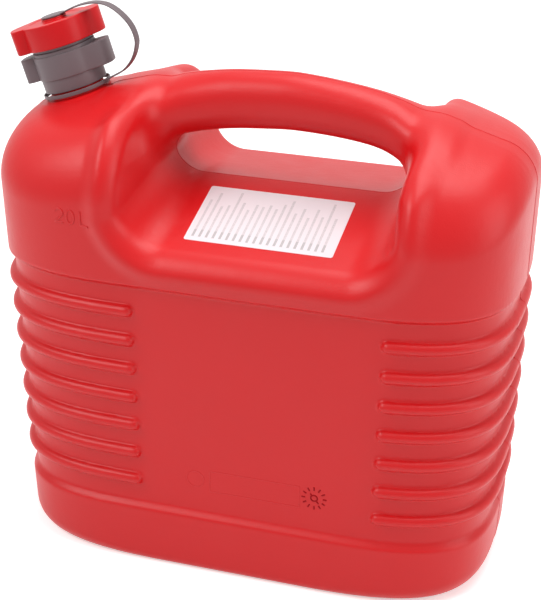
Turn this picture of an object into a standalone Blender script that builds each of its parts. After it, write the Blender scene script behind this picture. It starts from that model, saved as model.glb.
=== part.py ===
"""Fuel can, 20 litres: a blow-moulded body with a hollow grip, a stowed pouring spout,
a winged union collar and a winged screw cap held by a moulded tether.

Sizes are in metres, +Z is up, the can stands on z = 0 and its long side runs along X.
"""

import math

import bmesh
import bpy
from mathutils import Matrix, Vector

# Driving sizes of the can body

HALF_LENGTH = 0.2000
HALF_DEPTH = 0.1032
WALL = 0.0030
GAP = 0.0003

# Plan outline: a flat middle and superelliptic ends
PLAN_FLAT = 0.0664
PLAN_POWER = 3.24
PLAN_STEPS = 9

# Heights of the base, the belt and the upper section
BASE_FILLET = 0.0280
BASE_TOP = 0.0490
BASE_LEDGE = 0.0070
STEP_HEIGHT = 0.2426
STEP_CHAMFER = 0.0024
BASE_NARROWER = 0.0090
BASE_SHALLOWER = 0.0052
BELT_INSET = 0.0050
UPPER_FLARE = 0.0016

# Top: its rim is rounded, and it falls gently from the crown line to the front and the back
TOP_ROUND_LEFT = 0.0440
TOP_ROUND_RIGHT = 0.0390
TOP_FALL_LEFT = 0.0240
TOP_FALL_RIGHT = 0.0210
TOP_ROUND_STEPS = 5
TOP_RINGS = 5

# Crown line along the middle of the top, as x and z, measured in from both ends
CROWN = (
    (-HALF_LENGTH, 0.3450),
    (0.044 - HALF_LENGTH, 0.3540),
    (0.087 - HALF_LENGTH, 0.3660),
    (0.143 - HALF_LENGTH, 0.3790),
    (0.000, 0.3830),
    (HALF_LENGTH - 0.140, 0.3795),
    (HALF_LENGTH - 0.094, 0.3690),
    (HALF_LENGTH - 0.060, 0.3590),
    (HALF_LENGTH, 0.3530),
)

# Shallow recess under the base, so that the can stands on its rim
FOOT_BORDER = 0.0140
FOOT_RECESS = 0.0030
FILLET_STEPS = 4

# Ribs round both ends of the belt
RIB_COUNT = 7
RIB_LOW = 0.0750
RIB_HIGH = 0.2215
RIB_HALF_WIDTH = 0.0057
RIB_RISE = 0.0047
RIB_ROOT = 0.0015
RIB_LEFT_TIP = 0.0715
RIB_RIGHT_TIP = 0.1130
RIB_STEPS = 7

# Hand opening, from the front face through to the back face
HAND_FROM_LEFT_END = 0.1230
HAND_FROM_RIGHT_END = 0.0870
HAND_LEFT = HAND_FROM_LEFT_END - HALF_LENGTH
HAND_RIGHT = HALF_LENGTH - HAND_FROM_RIGHT_END
HAND_FLOOR = 0.2990
HAND_FALL_FRONT = 0.0290
HAND_FALL_BACK = 0.0150
HAND_CORNER = 0.0260
HAND_ROLL = 0.0150
# The side walls of the opening lean back above this height, up to the crown
HAND_LEAN_START = 0.3200
HAND_LEAN_LEFT = 0.0160
HAND_LEAN_RIGHT = 0.0300
HAND_ABOVE_CROWN = 0.0170
HAND_CORNER_STEPS = 5

# Grip bar: stations as x from the opening's ends, half width, depth below the crown line
GRIP = (
    (HAND_LEFT - 0.041, 0.0480, 0.066),
    (HAND_LEFT - 0.023, 0.0350, 0.052),
    (HAND_LEFT - 0.007, 0.0255, 0.046),
    (HAND_LEFT + 0.011, 0.0210, 0.0435),
    (HAND_LEFT + 0.047, 0.0190, 0.0425),
    (HAND_RIGHT - 0.093, 0.0185, 0.041),
    (HAND_RIGHT - 0.048, 0.0190, 0.039),
    (HAND_RIGHT - 0.021, 0.0210, 0.039),
    (HAND_RIGHT - 0.003, 0.0270, 0.043),
    (HAND_RIGHT + 0.013, 0.0370, 0.054),
    (HAND_RIGHT + 0.029, 0.0500, 0.070),
)
GRIP_POWER_TOP = 2.1
GRIP_POWER_LOW = 2.5
GRIP_SIDES = 24
GRIP_WALL = 0.0040

# Neck: the closure's frame has its origin on the axis, just above the tether ring's top
NECK_FROM_END = 0.0443
NECK_X = NECK_FROM_END - HALF_LENGTH
NECK_Z = 0.3587
NECK_TILT = 17.5
NECK_RADIUS = 0.0218
NECK_BORE = 0.0182
NECK_TOP = 0.0240
NECK_ROOT = 0.0200
LAND_RADIUS = 0.0285
LAND_DROP = 0.0052
# Cutters run this far past the faces that they open
CUT_PAST = 0.0020
SPOT_CUT_TOP = 0.0500

# Neck gasket and the spout's flange, stacked on the neck
GASKET_THICK = 0.0017
FLANGE_THICK = 0.0027
FLANGE_MARGIN = 0.0002

# Pouring spout, hanging through the neck into the can
SPOUT_MARGIN = 0.0010
SPOUT_WALL = 0.0020
SPOUT_STRAIGHT = 0.0400
BELLOWS_COUNT = 14
BELLOWS_PITCH = 0.0080
BELLOWS_DEPTH = 0.0022
NOZZLE_LENGTH = 0.0300
NOZZLE_RADIUS = 0.0120
SPOUT_SIDES = 20

# Collar: skirt over the neck, winged band, and the stub that the cap screws on
THREAD_MARGIN = 0.0005
SKIRT_WALL = 0.0020
SKIRT_FOOT = 0.0003
BAND_FOOT = 0.0106
BAND_BELOW_WEB = 0.0004
BAND_EXTRA = 0.0009
WEB_THICK = 0.0026
STUB_WALL = 0.0030
STUB_RADIUS = 0.0240
STUB_RISE = 0.0160

# Cap: skirt over the stub, wings, boss and the socket of the tether's stem
CAP_CLEARANCE = 0.0004
CAP_WALL = 0.0030
CAP_FOOT_GAP = 0.0023
CAP_TOP = 0.0028
LINER_THICK = 0.0014
BOSS_RADIUS = 0.0098
BOSS_RISE = 0.0014
SOCKET_RADIUS = 0.0032
SOCKET_FLOOR = 0.0012

# Wings of the collar and the cap: reach, the direction that they are turned to, and their form
COLLAR_WING_REACH = 0.0101
COLLAR_WING_TURN = 14.0
CAP_WING_REACH = 0.0076
CAP_WING_TURN = 35.0
WING_RAMP = 52.0
WING_DROP = 13.0
WING_SIDES = 72
EDGE_ROUND = 0.0012

# Tether: ring round the collar's skirt, strap, and eye on the cap
RING_CLEARANCE = 0.0004
RING_WALL = 0.0018
RING_TOP = -0.0006
RING_HEIGHT = 0.0030
EYE_RADIUS = 0.0094
EYE_THICK = 0.0012
STRAP_TURN = -5.0
STRAP_HALF_WIDTH = 0.0034
STRAP_THICK = 0.0012
STRAP_REACH = 0.0640
STRAP_WAIST = 0.0280
STRAP_STEPS = 12

# Revolved pieces have this many sides
ROUND_SIDES = 40


def clear_scene():
    for item in list(bpy.data.objects):
        bpy.data.objects.remove(item, do_unlink=True)


def material(name, colour, roughness):
    made = bpy.data.materials.new(name)
    made.use_nodes = True
    shader = made.node_tree.nodes["Principled BSDF"]
    shader.inputs["Base Color"].default_value = (*colour, 1.0)
    shader.inputs["Roughness"].default_value = roughness
    shader.inputs["Metallic"].default_value = 0.0
    return made


def mesh_object(name, points, faces):
    mesh = bpy.data.meshes.new(name)
    mesh.from_pydata([tuple(point) for point in points], [], faces)
    work = bmesh.new()
    work.from_mesh(mesh)
    bmesh.ops.recalc_face_normals(work, faces=work.faces)
    work.to_mesh(mesh)
    work.free()
    item = bpy.data.objects.new(name, mesh)
    bpy.context.collection.objects.link(item)
    return item


def loft(name, rings):
    """A closed solid through rings of equal point counts, with flat end caps."""
    count = len(rings[0])
    points = [point for ring in rings for point in ring]
    faces = []
    for level in range(len(rings) - 1):
        for side in range(count):
            after = (side + 1) % count
            low = level * count
            high = low + count
            faces.append((low + side, low + after, high + after, high + side))
    faces.append(tuple(range(count)))
    faces.append(tuple(range(len(points) - count, len(points))))
    return mesh_object(name, points, faces)


def revolve(name, profile, sides=ROUND_SIDES):
    """A solid of revolution about Z from a closed profile of radius and height."""
    count = len(profile)
    points = []
    for side in range(sides):
        angle = 2.0 * math.pi * side / sides
        for radius, height in profile:
            points.append((radius * math.cos(angle), radius * math.sin(angle), height))
    faces = []
    for side in range(sides):
        here = side * count
        there = ((side + 1) % sides) * count
        for corner in range(count):
            after = (corner + 1) % count
            faces.append((here + corner, there + corner, there + after, here + after))
    return mesh_object(name, points, faces)


def boolean(target, tool, operation):
    """Apply one exact boolean and remove the tool."""
    tool.hide_render = True
    tool.display_type = "WIRE"
    step = target.modifiers.new(operation.lower(), "BOOLEAN")
    step.operation = operation
    step.solver = "EXACT"
    step.object = tool
    bpy.context.view_layer.update()
    shape = bpy.data.meshes.new_from_object(
        target.evaluated_get(bpy.context.evaluated_depsgraph_get())
    )
    target.modifiers.remove(step)
    target.data = shape
    bpy.data.objects.remove(tool, do_unlink=True)


def between(low, high, share):
    return low + (high - low) * share


def smooth_line(stations, x):
    """Value on a smooth curve through stations of x and value (Catmull-Rom)."""
    if x <= stations[0][0]:
        return stations[0][1]
    if x >= stations[-1][0]:
        return stations[-1][1]
    index = 0
    while stations[index + 1][0] < x:
        index += 1
    x0, y0 = stations[index]
    x1, y1 = stations[index + 1]
    before = stations[max(index - 1, 0)]
    after = stations[min(index + 2, len(stations) - 1)]
    slope0 = (y1 - before[1]) / (x1 - before[0])
    slope1 = (after[1] - y0) / (after[0] - x0)
    span = x1 - x0
    t = (x - x0) / span
    return (
        (2 * t**3 - 3 * t**2 + 1) * y0
        + (t**3 - 2 * t**2 + t) * span * slope0
        + (3 * t**2 - 2 * t**3) * y1
        + (t**3 - t**2) * span * slope1
    )


# Can body


def plan_outline(half_length, half_depth):
    """Plan outline points, once round, starting at the middle of the front."""
    quarter = []
    for step in range(PLAN_STEPS + 1):
        angle = 0.5 * math.pi * step / PLAN_STEPS
        reach = math.sin(angle) ** (2.0 / PLAN_POWER)
        depth = math.cos(angle) ** (2.0 / PLAN_POWER)
        quarter.append((PLAN_FLAT + (half_length - PLAN_FLAT) * reach, half_depth * depth))
    front = [(x, -y) for x, y in quarter]
    back = [(x, y) for x, y in reversed(quarter[:-1])]
    right = front + back
    left = [(-x, -y) for x, y in right]
    return right + left


def side_size(height):
    """Half length and half depth of the sides' straight taper at one height."""
    share = (height - BASE_TOP) / (STEP_HEIGHT - BASE_TOP)
    half_length = between(HALF_LENGTH - BASE_NARROWER, HALF_LENGTH, share)
    half_depth = between(HALF_DEPTH - BASE_SHALLOWER, HALF_DEPTH, share)
    return half_length, half_depth


def crown_height(x):
    return smooth_line(CROWN, x)


def top_height(x, y):
    """Height of the gently domed top, before its rim is rounded."""
    share = (x + HALF_LENGTH) / (2.0 * HALF_LENGTH)
    fall = between(TOP_FALL_LEFT, TOP_FALL_RIGHT, share)
    return crown_height(x) - fall * (y / HALF_DEPTH) ** 2


def moved_in(outline, amounts):
    """The outline with each point moved in along its normal."""
    count = len(outline)
    moved = []
    for index, (x, y) in enumerate(outline):
        x0, y0 = outline[index - 1]
        x1, y1 = outline[(index + 1) % count]
        length = math.hypot(x1 - x0, y1 - y0)
        amount = amounts[index]
        moved.append((x - amount * (y1 - y0) / length, y + amount * (x1 - x0) / length))
    return moved


def body_solid(name, inset):
    """Outer form of the can, or with an inset its inside space."""
    rings = []

    def ring(height, margin):
        half_length, half_depth = side_size(height)
        outline = plan_outline(half_length - margin - inset, half_depth - margin - inset)
        rings.append([(x, y, height) for x, y in outline])

    floor = 0.0 if inset == 0.0 else FOOT_RECESS + inset
    fillet = BASE_FILLET - inset
    for step in range(FILLET_STEPS + 1):
        angle = 0.5 * math.pi * step / FILLET_STEPS
        rise = (BASE_FILLET - floor) * (1.0 - math.cos(angle))
        ring(floor + rise, fillet * (1.0 - math.sin(angle)))
    ring(BASE_TOP - inset, 0.0)
    ring(BASE_TOP + BASE_LEDGE - inset, BELT_INSET)
    ring(STEP_HEIGHT + inset, BELT_INSET)
    ring(STEP_HEIGHT + inset + 0.0002, STEP_CHAMFER)
    ring(STEP_HEIGHT + STEP_CHAMFER + inset, 0.0)

    half_length = HALF_LENGTH + UPPER_FLARE - inset
    half_depth = HALF_DEPTH + UPPER_FLARE - inset
    outline = plan_outline(half_length, half_depth)
    rounds = []
    for x, _ in outline:
        share = (x + half_length) / (2.0 * half_length)
        rounds.append(between(TOP_ROUND_LEFT, TOP_ROUND_RIGHT, share) - inset)
    inner = outline
    for step in range(TOP_ROUND_STEPS + 1):
        angle = 0.5 * math.pi * step / TOP_ROUND_STEPS
        inner = moved_in(outline, [radius * (1.0 - math.cos(angle)) for radius in rounds])
        level = []
        for (x, y), radius in zip(inner, rounds):
            rim = radius * (1.0 - math.sin(angle))
            level.append((x, y, top_height(x, y) - inset - rim))
        rings.append(level)
    for step in range(1, TOP_RINGS):
        scale = 1.0 - step / TOP_RINGS
        level = []
        for x, y in inner:
            height = top_height(x * scale, y * scale)
            level.append((x * scale, y * scale, height - inset))
        rings.append(level)
    return loft(name, rings)


def hand_opening(name, grow):
    """Cutter for the hand opening: a trough right through the can, flared at both faces."""
    face = HALF_DEPTH + UPPER_FLARE
    roof = max(height for _, height in CROWN) + HAND_ABOVE_CROWN
    stations = (
        (-face - HAND_ROLL, 2.0),
        (-face, 1.0),
        (-face + 0.30 * HAND_ROLL, 0.50),
        (-face + 0.80 * HAND_ROLL, 0.18),
        (-face + 1.80 * HAND_ROLL, 0.0),
        (0.0, 0.0),
    )
    stations = stations + tuple((-y, flare) for y, flare in reversed(stations[:-1]))
    rings = []
    for y, flare in stations:
        open_by = HAND_ROLL * flare + grow
        left = HAND_LEFT - open_by
        right = HAND_RIGHT + open_by
        along = min(abs(y) / face, 1.0)
        fall = HAND_FALL_FRONT if y < 0.0 else HAND_FALL_BACK
        floor = HAND_FLOOR - fall * along - open_by
        corner = HAND_CORNER + open_by
        ring = []
        for step in range(HAND_CORNER_STEPS + 1):
            angle = 0.5 * math.pi * step / HAND_CORNER_STEPS
            x = left + corner * (1.0 - math.sin(angle))
            z = floor + corner * (1.0 - math.cos(angle))
            ring.append((x, y, z))
        ring.reverse()
        other = [(left + right - x, y, z) for x, y, z in reversed(ring)]
        lean = []
        other_lean = []
        for share in (1.0, 0.75, 0.5, 0.25):
            height = between(HAND_LEAN_START, roof, share)
            lean.append((left - HAND_LEAN_LEFT * share**1.6, y, height))
            other_lean.append((right + HAND_LEAN_RIGHT * share**1.6, y, height))
        other_lean.reverse()
        rings.append(lean + ring + other + other_lean)
    return loft(name, rings)


def grip_bar(name, inset):
    """The grip: a rounded bar along the crown line that flares into both shoulders."""
    rings = []
    for x, half_width, tall in GRIP:
        middle = crown_height(x) - 0.5 * tall
        ring = []
        for side in range(GRIP_SIDES):
            angle = 2.0 * math.pi * side / GRIP_SIDES
            cosine = math.cos(angle)
            sine = math.sin(angle)
            power = GRIP_POWER_TOP if sine > 0.0 else GRIP_POWER_LOW
            across = math.copysign(abs(cosine) ** (2.0 / power), cosine)
            up = math.copysign(abs(sine) ** (2.0 / power), sine)
            y = (half_width - inset) * across
            z = middle + (0.5 * tall - inset) * up
            ring.append((x, y, z))
        rings.append(ring)
    return loft(name, rings)


def end_rib(name, height, end, tip):
    """One half-round rib round one end of the belt, with rounded tips."""
    half_length, half_depth = side_size(height)
    half_length -= BELT_INSET
    half_depth -= BELT_INSET
    path = []
    steps = RIB_STEPS
    start = PLAN_FLAT + (half_length - PLAN_FLAT) * 0.02
    share = max(tip - PLAN_FLAT, start - PLAN_FLAT) / (half_length - PLAN_FLAT)
    first = math.asin(share ** (PLAN_POWER / 2.0))
    for step in range(steps + 1):
        angle = between(first, 0.5 * math.pi, step / steps)
        x = PLAN_FLAT + (half_length - PLAN_FLAT) * math.sin(angle) ** (2.0 / PLAN_POWER)
        y = -half_depth * math.cos(angle) ** (2.0 / PLAN_POWER)
        path.append(Vector((x, y, 0.0)))
    path = path + [Vector((point.x, -point.y, 0.0)) for point in reversed(path[:-1])]
    sections = []
    last = len(path) - 1
    for index, point in enumerate(path):
        tangent = path[min(index + 1, last)] - path[max(index - 1, 0)]
        tangent.normalize()
        sections.append((point, tangent, 1.0))
    for position, direction in ((0, -1.0), (last, 1.0)):
        point, tangent, _ = sections[position if position == 0 else -1]
        extra = []
        for reach, size in ((0.55, 0.84), (0.9, 0.45)):
            moved = point + tangent * direction * reach * RIB_HALF_WIDTH
            extra.append((moved, tangent, size))
        if position == 0:
            sections = list(reversed(extra)) + sections
        else:
            sections = sections + extra
    rings = []
    for point, tangent, size in sections:
        outward = Vector((tangent.y, -tangent.x, 0.0))
        ring = []
        for step in range(7):
            angle = math.pi * step / 6
            rise = RIB_RISE * size * math.sin(angle)
            level = height + RIB_HALF_WIDTH * size * math.cos(angle)
            place = point + outward * rise
            ring.append((end * place.x, place.y, level))
        for level in (-1.0, 1.0):
            place = point - outward * RIB_ROOT
            ring.append((end * place.x, place.y, height + level * RIB_HALF_WIDTH * size))
        rings.append(ring)
    return loft(name, rings)


def in_neck_frame(item):
    """Carry a piece modelled about Z over to the tilted neck."""
    tilt = Matrix.Rotation(math.radians(-NECK_TILT), 4, "Y")
    item.matrix_world = Matrix.Translation((NECK_X, 0.0, NECK_Z)) @ tilt
    return item


def disc(radius, low, high):
    """Closed revolve profile of a plain cylinder."""
    return [(1e-5, low), (radius, low), (radius, high), (1e-5, high)]


def cylinder(name, radius, low, high, sides=ROUND_SIDES):
    rings = []
    for height in (low, high):
        ring = []
        for side in range(sides):
            angle = 2.0 * math.pi * side / sides
            ring.append((radius * math.cos(angle), radius * math.sin(angle), height))
        rings.append(ring)
    return loft(name, rings)


def build_can_body(paint):
    body = body_solid("can_body", 0.0)
    boolean(body, hand_opening("hand_cutter", 0.0), "DIFFERENCE")
    boolean(body, grip_bar("grip", 0.0), "UNION")
    for index in range(RIB_COUNT):
        height = between(RIB_LOW, RIB_HIGH, index / (RIB_COUNT - 1))
        boolean(body, end_rib("rib_left", height, -1.0, RIB_LEFT_TIP), "UNION")
        boolean(body, end_rib("rib_right", height, 1.0, RIB_RIGHT_TIP), "UNION")

    foot = []
    half_length, half_depth = side_size(0.0)
    for height, margin in ((-0.01, 0.0), (0.0, 0.0), (FOOT_RECESS, FOOT_RECESS)):
        border = BASE_FILLET + FOOT_BORDER + margin
        outline = plan_outline(half_length - border, half_depth - border)
        foot.append([(x, y, height) for x, y in outline])
    boolean(body, loft("foot_cutter", foot), "DIFFERENCE")

    spot = in_neck_frame(cylinder("spot_cutter", LAND_RADIUS, -LAND_DROP, SPOT_CUT_TOP))
    boolean(body, spot, "DIFFERENCE")
    land = in_neck_frame(cylinder("land", LAND_RADIUS - 0.0005, -NECK_ROOT, -LAND_DROP))
    boolean(body, land, "UNION")
    neck = in_neck_frame(cylinder("neck", NECK_RADIUS, -NECK_ROOT, NECK_TOP))
    boolean(body, neck, "UNION")

    inside = body_solid("inside", WALL)
    boolean(inside, hand_opening("inside_cutter", WALL), "DIFFERENCE")
    boolean(inside, grip_bar("grip_inside", GRIP_WALL), "UNION")
    low = -2.0 * NECK_ROOT
    bore = in_neck_frame(cylinder("bore", NECK_BORE, low, NECK_TOP + CUT_PAST))
    boolean(inside, bore, "UNION")
    boolean(body, inside, "DIFFERENCE")
    body.data.materials.clear()
    body.data.materials.append(paint)
    return body


# Winged outlines of the collar and the cap


def wing_rise(degrees, turned_to):
    """Share of the wing's reach at one direction: a long ramp, then a sharp drop."""
    turn = (degrees - turned_to + 90.0) % 180.0 - 90.0
    if turn < -WING_RAMP or turn > WING_DROP:
        return 0.0
    if turn < -0.2 * WING_RAMP:
        share = (turn + WING_RAMP) / (0.8 * WING_RAMP)
        return share * share * (3.0 - 2.0 * share)
    if turn < 0.35 * WING_DROP:
        return 1.0
    share = (WING_DROP - turn) / (0.65 * WING_DROP)
    return math.sqrt(max(1.0 - (1.0 - share) ** 2, 0.0))


def winged_block(name, radius, wing_reach, turned_to, low, high):
    """A short upright block with the winged outline and softened edges."""
    rings = []
    for height, margin in (
        (low, EDGE_ROUND),
        (low + EDGE_ROUND, 0.0),
        (high - EDGE_ROUND, 0.0),
        (high, EDGE_ROUND),
    ):
        ring = []
        for side in range(WING_SIDES):
            degrees = 360.0 * side / WING_SIDES
            reach = radius + wing_reach * wing_rise(degrees, turned_to) - margin
            angle = math.radians(degrees)
            ring.append((reach * math.cos(angle), reach * math.sin(angle), height))
        rings.append(ring)
    return loft(name, rings)


# Heights of the stack on the neck, each from the piece below it

GASKET_LOW = NECK_TOP + GAP
GASKET_HIGH = GASKET_LOW + GASKET_THICK
FLANGE_LOW = GASKET_HIGH + GAP
FLANGE_HIGH = FLANGE_LOW + FLANGE_THICK
WEB_LOW = FLANGE_HIGH + GAP
WEB_HIGH = WEB_LOW + WEB_THICK
BAND_TOP = WEB_LOW - BAND_BELOW_WEB
STUB_TOP = WEB_HIGH + STUB_RISE
LINER_LOW = STUB_TOP + GAP
LINER_HIGH = LINER_LOW + LINER_THICK
CAP_CEILING = LINER_HIGH + GAP
CAP_HIGH = CAP_CEILING + CAP_TOP
CAP_LOW = WEB_HIGH + CAP_FOOT_GAP
BOSS_TOP = CAP_HIGH + BOSS_RISE
EYE_LOW = BOSS_TOP + GAP
EYE_HIGH = EYE_LOW + EYE_THICK
SOCKET_LOW = CAP_CEILING + SOCKET_FLOOR

# Radii that follow one another
SKIRT_BORE = NECK_RADIUS + THREAD_MARGIN
SKIRT_RADIUS = SKIRT_BORE + SKIRT_WALL
BAND_RADIUS = SKIRT_RADIUS + BAND_EXTRA
CAP_BORE = STUB_RADIUS + CAP_CLEARANCE
CAP_RADIUS = CAP_BORE + CAP_WALL
SPOUT_RADIUS = NECK_BORE - SPOUT_MARGIN
SPOUT_BORE = SPOUT_RADIUS - SPOUT_WALL
FLANGE_RADIUS = NECK_RADIUS - FLANGE_MARGIN
STUB_BORE = STUB_RADIUS - STUB_WALL
RING_BORE = SKIRT_RADIUS + RING_CLEARANCE
RING_RADIUS = RING_BORE + RING_WALL


def build_gasket(paint):
    profile = [
        (NECK_BORE, GASKET_LOW),
        (NECK_RADIUS, GASKET_LOW),
        (NECK_RADIUS, GASKET_HIGH),
        (NECK_BORE, GASKET_HIGH),
    ]
    gasket = in_neck_frame(revolve("neck_gasket", profile))
    gasket.data.materials.append(paint)


def build_spout(paint):
    """Flange, plain tube, bellows and nozzle, with one open bore."""
    outer = [(FLANGE_RADIUS, FLANGE_HIGH), (FLANGE_RADIUS, FLANGE_LOW), (SPOUT_RADIUS, FLANGE_LOW)]
    inner = [(SPOUT_BORE, FLANGE_HIGH)]
    top = FLANGE_LOW - SPOUT_STRAIGHT
    for index in range(BELLOWS_COUNT):
        crest = top - index * BELLOWS_PITCH
        outer.append((SPOUT_RADIUS, crest))
        outer.append((SPOUT_RADIUS - BELLOWS_DEPTH, crest - 0.5 * BELLOWS_PITCH))
        inner.append((SPOUT_BORE, crest))
        inner.append((SPOUT_BORE - BELLOWS_DEPTH, crest - 0.5 * BELLOWS_PITCH))
    low = top - BELLOWS_COUNT * BELLOWS_PITCH
    outer.append((SPOUT_RADIUS, low))
    outer.append((NOZZLE_RADIUS, low - NOZZLE_LENGTH))
    inner.append((SPOUT_BORE, low))
    inner.append((NOZZLE_RADIUS - SPOUT_WALL, low - NOZZLE_LENGTH))
    profile = outer + list(reversed(inner))
    spout = in_neck_frame(revolve("spout", profile, SPOUT_SIDES))
    spout.data.materials.append(paint)


def build_collar(paint):
    collar = winged_block(
        "collar", BAND_RADIUS, COLLAR_WING_REACH, COLLAR_WING_TURN, BAND_FOOT, BAND_TOP
    )
    skirt = cylinder("skirt", SKIRT_RADIUS, SKIRT_FOOT, WEB_HIGH)
    boolean(collar, skirt, "UNION")
    stub = cylinder("stub", STUB_RADIUS, WEB_HIGH - CUT_PAST, STUB_TOP)
    boolean(collar, stub, "UNION")
    skirt_bore = cylinder("skirt_bore", SKIRT_BORE, SKIRT_FOOT - CUT_PAST, WEB_LOW)
    boolean(collar, skirt_bore, "DIFFERENCE")
    web_bore = cylinder("web_bore", SPOUT_BORE, WEB_LOW - CUT_PAST, WEB_HIGH + CUT_PAST)
    boolean(collar, web_bore, "DIFFERENCE")
    stub_bore = cylinder("stub_bore", STUB_BORE, WEB_HIGH, STUB_TOP + CUT_PAST)
    boolean(collar, stub_bore, "DIFFERENCE")
    in_neck_frame(collar)
    collar.data.materials.clear()
    collar.data.materials.append(paint)


def build_cap(paint):
    cap = winged_block("cap", CAP_RADIUS, CAP_WING_REACH, CAP_WING_TURN, CAP_LOW, CAP_HIGH)
    boolean(cap, cylinder("boss", BOSS_RADIUS, CAP_HIGH - 0.001, BOSS_TOP), "UNION")
    cap_bore = cylinder("cap_bore", CAP_BORE, CAP_LOW - CUT_PAST, CAP_CEILING)
    boolean(cap, cap_bore, "DIFFERENCE")
    socket = cylinder("socket", SOCKET_RADIUS, SOCKET_LOW, BOSS_TOP + CUT_PAST, 24)
    boolean(cap, socket, "DIFFERENCE")
    in_neck_frame(cap)
    cap.data.materials.clear()
    cap.data.materials.append(paint)


def build_liner(paint):
    profile = [
        (STUB_BORE - 0.002, LINER_LOW),
        (CAP_BORE - GAP, LINER_LOW),
        (CAP_BORE - GAP, LINER_HIGH),
        (STUB_BORE - 0.002, LINER_HIGH),
    ]
    liner = in_neck_frame(revolve("cap_liner", profile))
    liner.data.materials.append(paint)


def build_tether(paint):
    ring_profile = [
        (RING_BORE, RING_TOP - RING_HEIGHT),
        (RING_RADIUS, RING_TOP - RING_HEIGHT),
        (RING_RADIUS, RING_TOP),
        (RING_BORE, RING_TOP),
    ]
    ring = in_neck_frame(revolve("tether_ring", ring_profile))
    ring.data.materials.append(paint)

    eye = cylinder("tether_eye", EYE_RADIUS, EYE_LOW, EYE_HIGH, 32)
    stem = cylinder("stem", SOCKET_RADIUS - GAP, SOCKET_LOW + GAP, EYE_LOW + 0.0004, 24)
    boolean(eye, stem, "UNION")
    in_neck_frame(eye)
    eye.data.materials.clear()
    eye.data.materials.append(paint)

    strap = strap_band("tether_strap", 0.5 * STRAP_THICK)
    strap.data.materials.append(paint)


def bezier(a, b, c, d, t):
    s = 1.0 - t
    return a * s**3 + b * (3 * s * s * t) + c * (3 * s * t * t) + d * t**3


def strap_path():
    """Middle line of the strap in radius and height, from the eye out and down to the ring."""
    eye = Vector((EYE_RADIUS + GAP, 0.5 * (EYE_LOW + EYE_HIGH)))
    waist = Vector((STRAP_REACH, STRAP_WAIST))
    ring = Vector((RING_RADIUS + GAP, RING_TOP - 0.5 * STRAP_THICK))
    upper = (eye, eye + Vector((0.030, 0.0072)), waist + Vector((0.0, 0.026)), waist)
    lower = (waist, waist - Vector((0.0, 0.020)), ring + Vector((0.019, 0.0014)), ring)
    line = [bezier(*upper, step / STRAP_STEPS) for step in range(STRAP_STEPS)]
    line += [bezier(*lower, step / STRAP_STEPS) for step in range(STRAP_STEPS + 1)]
    return line


def strap_band(name, half_thick):
    line = strap_path()
    turn = math.radians(STRAP_TURN)
    outward = Vector((math.cos(turn), math.sin(turn), 0.0))
    sideways = Vector((-math.sin(turn), math.cos(turn), 0.0))
    rings = []
    last = len(line) - 1
    for index, point in enumerate(line):
        tangent = (line[min(index + 1, last)] - line[max(index - 1, 0)]).normalized()
        normal = Vector((-tangent.y, tangent.x))
        ring = []
        for side, face in ((-1, -1), (1, -1), (1, 1), (-1, 1)):
            place = point + normal * (half_thick * face)
            spot = outward * place.x + sideways * (STRAP_HALF_WIDTH * side)
            ring.append((spot.x, spot.y, place.y))
        rings.append(ring)
    return in_neck_frame(loft(name, rings))


def main():
    clear_scene()
    red = material("can_red", (0.60, 0.030, 0.035), 0.45)
    cap_red = material("cap_red", (0.58, 0.030, 0.035), 0.40)
    collar_grey = material("collar_grey", (0.17, 0.13, 0.145), 0.45)
    spout_grey = material("spout_grey", (0.16, 0.125, 0.135), 0.5)
    tether_grey = material("tether_grey", (0.18, 0.14, 0.15), 0.45)
    gasket_black = material("gasket_black", (0.02, 0.02, 0.022), 0.6)
    liner_white = material("liner_white", (0.75, 0.74, 0.70), 0.6)
    build_can_body(red)
    build_gasket(gasket_black)
    build_spout(spout_grey)
    build_collar(collar_grey)
    build_cap(cap_red)
    build_liner(liner_white)
    build_tether(tether_grey)


main()
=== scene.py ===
"""Looks of the fuel can: moulded surfaces, threads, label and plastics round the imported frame."""

from math import asin, copysign, cos, exp, hypot, pi, radians, sin, sqrt

import bmesh
import bpy
import numpy as np
import openvdb
from mathutils import Matrix, Vector


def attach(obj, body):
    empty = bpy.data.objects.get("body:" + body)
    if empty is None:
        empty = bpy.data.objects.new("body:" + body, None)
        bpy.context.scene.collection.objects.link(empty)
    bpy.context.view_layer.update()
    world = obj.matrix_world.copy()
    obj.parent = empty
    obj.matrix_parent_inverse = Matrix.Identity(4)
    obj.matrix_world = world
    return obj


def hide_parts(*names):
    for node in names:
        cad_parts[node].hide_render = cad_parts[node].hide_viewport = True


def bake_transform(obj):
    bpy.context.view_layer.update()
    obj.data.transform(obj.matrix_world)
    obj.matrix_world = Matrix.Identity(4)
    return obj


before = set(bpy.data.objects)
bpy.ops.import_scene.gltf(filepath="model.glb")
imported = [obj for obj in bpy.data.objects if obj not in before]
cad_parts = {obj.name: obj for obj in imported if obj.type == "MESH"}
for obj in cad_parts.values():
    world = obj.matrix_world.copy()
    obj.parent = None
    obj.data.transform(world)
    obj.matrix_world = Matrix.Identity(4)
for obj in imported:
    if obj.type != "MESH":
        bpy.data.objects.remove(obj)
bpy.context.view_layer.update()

FULL_TURN = 2.0 * pi

# Camera, as fitted to the photograph: angles in degrees, lengths in metres, lens in millimetres

CAMERA_AZIMUTH = 17.54
CAMERA_ELEVATION = 25.4
CAMERA_ROLL = 0.18
CAMERA_LENS = 92.29
CAMERA_SENSOR = 36.0
CAMERA_TARGET = Vector((0.0, 0.0, 0.1926))
CAMERA_PLACE = Vector((0.0012, 0.0044, 1.2123))


def placed(name, data):
    item = bpy.data.objects.new(name, data)
    bpy.context.collection.objects.link(item)
    return item


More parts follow.
